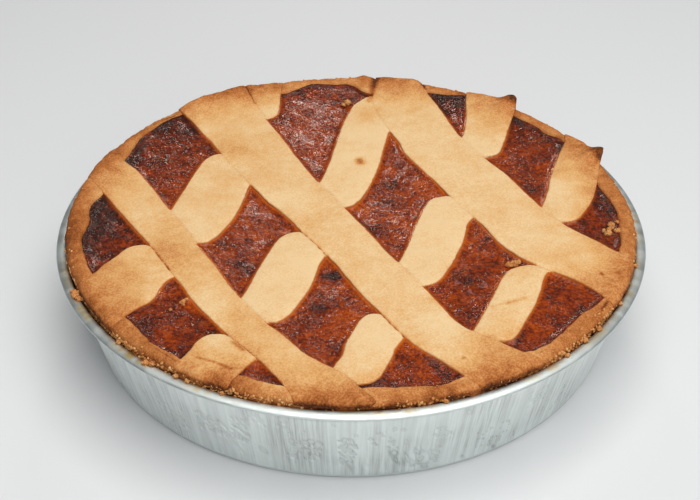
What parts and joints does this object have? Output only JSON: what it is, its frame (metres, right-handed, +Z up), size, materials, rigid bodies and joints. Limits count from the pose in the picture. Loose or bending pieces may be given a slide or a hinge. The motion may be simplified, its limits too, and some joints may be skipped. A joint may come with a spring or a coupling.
{
  "type": "pastiera",
  "caption": "Round deep tart with crossing pastry strips over a glossy dark filling, baked and kept in its flared aluminium tin with a rolled rim.",
  "frame": {"origin": "middle of the tin's flat underside, on the surface that it stands on", "axes": "+Z up, -Y towards the viewer and +X to the right in the reference view"},
  "size_m": [0.24, 0.24, 0.0513],
  "materials": {
    "tin": "satin, drawn streaks, rolled bead",
    "rim_pastry": "matt baked shortcrust, orange brown and crumbly at the edge",
    "strip_pastry": "matt pale golden shortcrust with a fine sandy grain",
    "filling": "glossy caramelised custard, orange red to dark brown, bumpy"
  },
  "bodies": {
    "root": {"tin": "tin", "pastry_shell": "rim_pastry", "filling": "filling", "strip_upper_a": "strip_pastry", "strip_upper_b": "strip_pastry", "strip_upper_c": "strip_pastry", "strip_lower_1": "strip_pastry", "strip_lower_2": "strip_pastry", "strip_lower_3": "strip_pastry", "strip_lower_4": "strip_pastry"}
  },
  "joints": []
}
